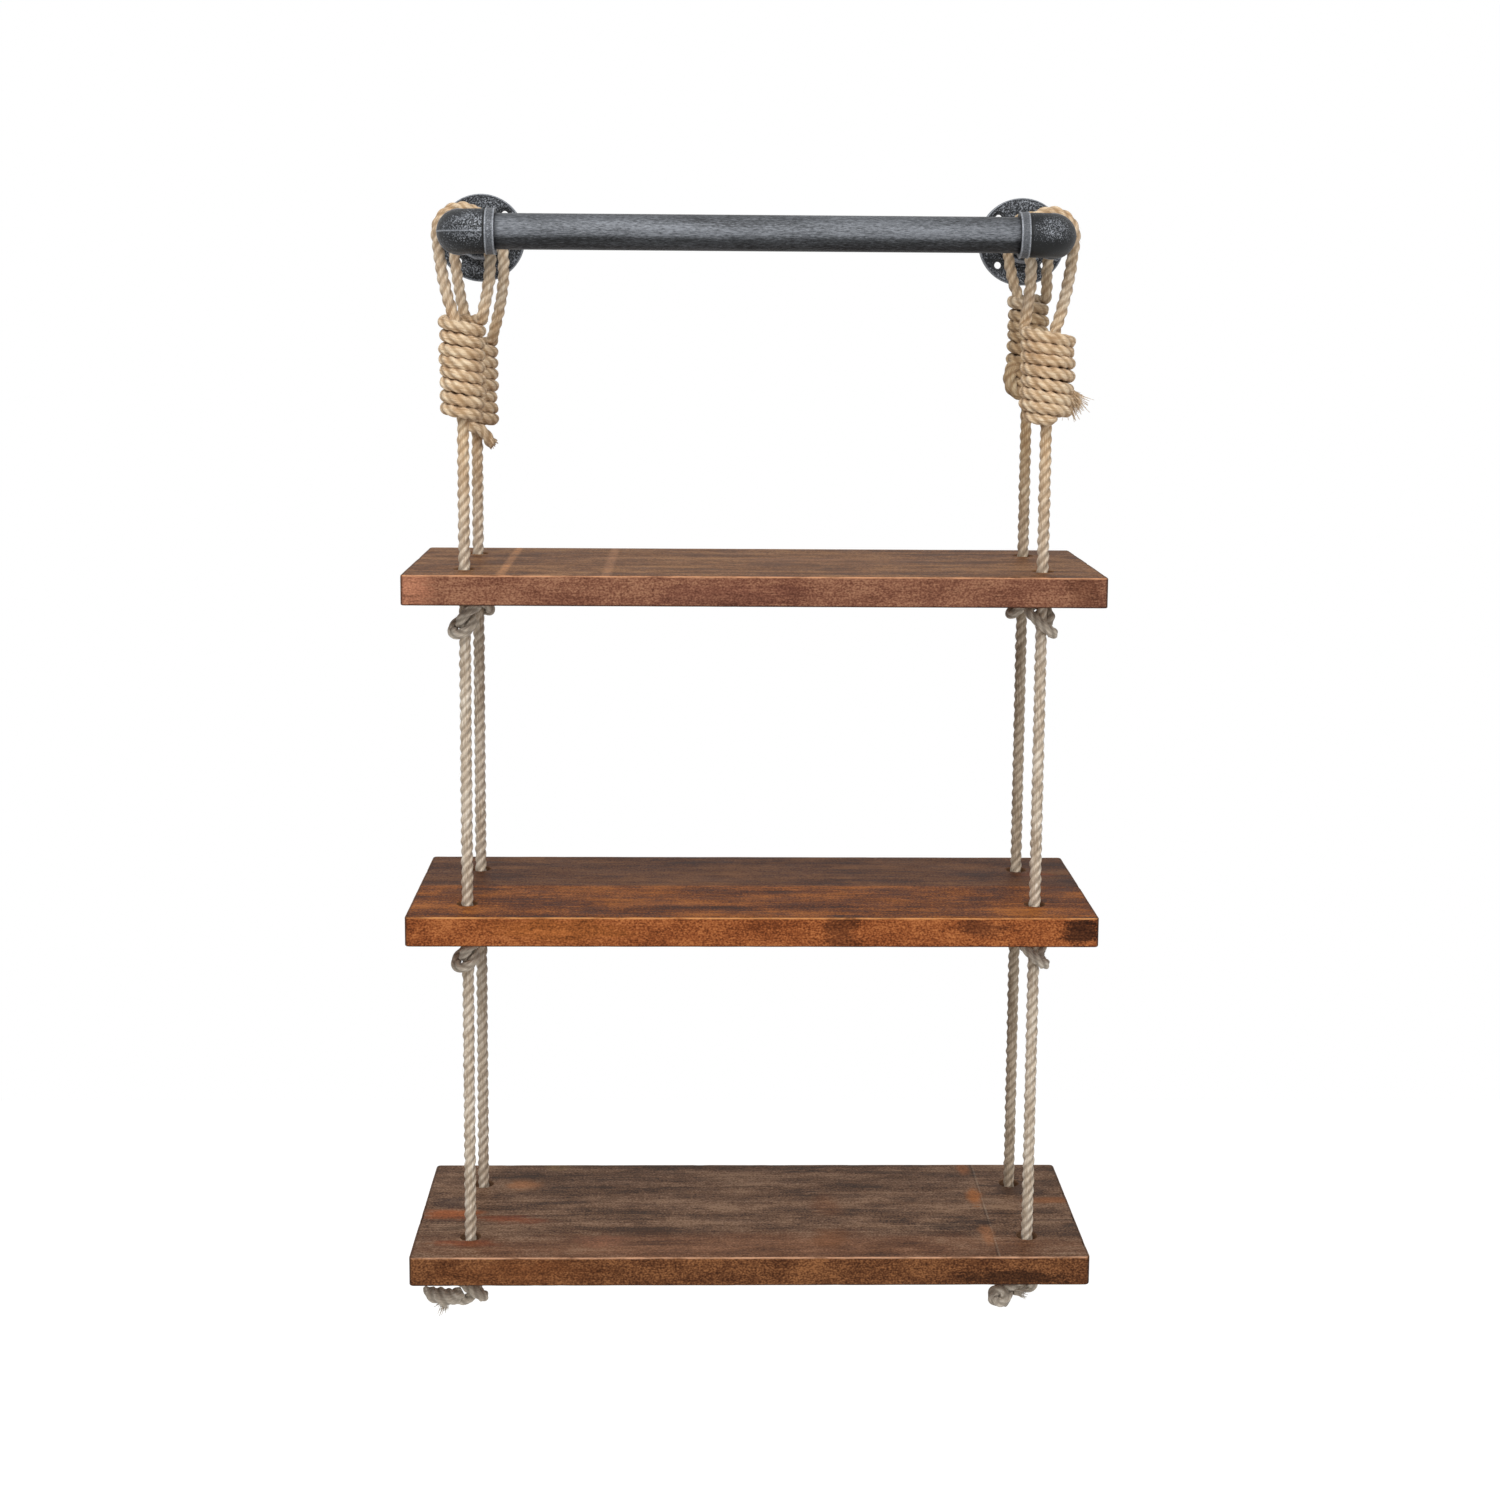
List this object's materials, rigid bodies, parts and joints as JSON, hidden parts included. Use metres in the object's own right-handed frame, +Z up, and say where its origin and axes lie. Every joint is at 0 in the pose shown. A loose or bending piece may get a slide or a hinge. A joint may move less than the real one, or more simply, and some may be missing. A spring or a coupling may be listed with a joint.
{
  "type": "hanging rope shelf",
  "caption": "Stained wood boards hung by knotted rope from a pipe rack: each rope ends in a noose over a standoff pipe and is knotted under every board.",
  "frame": {"origin": "on the wall plane, midway between the two flanges, at the height of the pipes' axes", "axes": "+X to the right seen from the room, +Y into the wall, +Z up; the front faces -Y"},
  "size_m": [0.508, 0.2032, 0.8456],
  "materials": {
    "cast_fittings": "dark iron with dry-brushed silver edges",
    "iron_pipe": "dark satin with silver rubbed along it",
    "stained_wood": "dark walnut stain, worn edges",
    "jute_rope": "three-strand laid jute, fuzzy"
  },
  "bodies": {
    "rack": {"wall_flange_left": "cast_fittings", "standoff_pipe_left": "iron_pipe", "elbow_left": "cast_fittings", "wall_flange_right": "cast_fittings", "standoff_pipe_right": "iron_pipe", "elbow_right": "cast_fittings", "crossbar_pipe": "iron_pipe"},
    "loops_left": {"noose_front_left": "jute_rope", "noose_rear_left": "jute_rope"},
    "loops_right": {"noose_front_right": "jute_rope", "noose_rear_right": "jute_rope"},
    "ropes_front_left": {"rope_front_left_upper": "jute_rope", "rope_front_left_middle": "jute_rope", "rope_front_left_lower": "jute_rope"},
    "ropes_rear_left": {"rope_rear_left_upper": "jute_rope", "rope_rear_left_middle": "jute_rope", "rope_rear_left_lower": "jute_rope"},
    "ropes_front_right": {"rope_front_right_upper": "jute_rope", "rope_front_right_middle": "jute_rope", "rope_front_right_lower": "jute_rope"},
    "ropes_rear_right": {"rope_rear_right_upper": "jute_rope", "rope_rear_right_middle": "jute_rope", "rope_rear_right_lower": "jute_rope"},
    "corner_knot_upper": {"knot_front_left_upper": "jute_rope"},
    "shelf_upper": {"board_upper": "stained_wood", "knot_rear_left_upper": "jute_rope", "knot_front_right_upper": "jute_rope", "knot_rear_right_upper": "jute_rope"},
    "corner_knot_middle": {"knot_front_left_middle": "jute_rope"},
    "shelf_middle": {"board_middle": "stained_wood", "knot_rear_left_middle": "jute_rope", "knot_front_right_middle": "jute_rope", "knot_rear_right_middle": "jute_rope"},
    "corner_knot_lower": {"knot_front_left_lower": "jute_rope"},
    "shelf_lower": {"board_lower": "stained_wood", "knot_rear_left_lower": "jute_rope", "knot_front_right_lower": "jute_rope", "knot_rear_right_lower": "jute_rope"}
  },
  "joints": [
    {"name": "sway", "type": "hinge", "parent": "rack", "child": "loops_left", "pos_m": [-0.212, -0.102, 0], "axis": [0, 1, 0], "range_deg": [-6, 6]},
    {"name": "sway_right", "type": "hinge", "parent": "rack", "child": "loops_right", "pos_m": [0.212, -0.102, 0], "axis": [0, 1, 0], "range_deg": [-6, 6]},
    {"name": "swing", "type": "hinge", "parent": "loops_left", "child": "ropes_front_left", "pos_m": [-0.212, -0.154, -0.156], "axis": [-1, 0, 0], "range_deg": [-0.8, 6]},
    {"name": "swing_rear_left", "type": "hinge", "parent": "loops_left", "child": "ropes_rear_left", "pos_m": [-0.212, -0.05, -0.156], "axis": [-1, 0, 0], "range_deg": [-0.8, 6]},
    {"name": "swing_front_right", "type": "hinge", "parent": "loops_right", "child": "ropes_front_right", "pos_m": [0.212, -0.154, -0.156], "axis": [-1, 0, 0], "range_deg": [-0.8, 6]},
    {"name": "swing_rear_right", "type": "hinge", "parent": "loops_right", "child": "ropes_rear_right", "pos_m": [0.212, -0.05, -0.156], "axis": [-1, 0, 0], "range_deg": [-0.8, 6]},
    {"name": "knot_turn_upper", "type": "hinge", "parent": "ropes_front_left", "child": "corner_knot_upper", "pos_m": [-0.212, -0.154, -0.2605], "axis": [-1, 0, 0], "range_deg": [-6, 0.8]},
    {"name": "shelf_level_upper", "type": "hinge", "parent": "corner_knot_upper", "child": "shelf_upper", "pos_m": [-0.212, -0.154, -0.2605], "axis": [0, 1, 0], "range_deg": [-6, 6]},
    {"name": "knot_turn_middle", "type": "hinge", "parent": "ropes_front_left", "child": "corner_knot_middle", "pos_m": [-0.212, -0.154, -0.5115], "axis": [-1, 0, 0], "range_deg": [-6, 0.8]},
    {"name": "shelf_level_middle", "type": "hinge", "parent": "corner_knot_middle", "child": "shelf_middle", "pos_m": [-0.212, -0.154, -0.5115], "axis": [0, 1, 0], "range_deg": [-6, 6]},
    {"name": "knot_turn_lower", "type": "hinge", "parent": "ropes_front_left", "child": "corner_knot_lower", "pos_m": [-0.212, -0.154, -0.7715], "axis": [-1, 0, 0], "range_deg": [-6, 0.8]},
    {"name": "shelf_level_lower", "type": "hinge", "parent": "corner_knot_lower", "child": "shelf_lower", "pos_m": [-0.212, -0.154, -0.7715], "axis": [0, 1, 0], "range_deg": [-6, 6]}
  ],
  "couplings": [
    {"joint": "sway_right", "follows": "sway", "ratio": 1},
    {"joint": "swing_rear_left", "follows": "swing", "ratio": 1},
    {"joint": "swing_front_right", "follows": "swing", "ratio": 1},
    {"joint": "swing_rear_right", "follows": "swing", "ratio": 1},
    {"joint": "knot_turn_upper", "follows": "swing", "ratio": -1},
    {"joint": "shelf_level_upper", "follows": "sway", "ratio": -1},
    {"joint": "knot_turn_middle", "follows": "swing", "ratio": -1},
    {"joint": "shelf_level_middle", "follows": "sway", "ratio": -1},
    {"joint": "knot_turn_lower", "follows": "swing", "ratio": -1},
    {"joint": "shelf_level_lower", "follows": "sway", "ratio": -1}
  ]
}
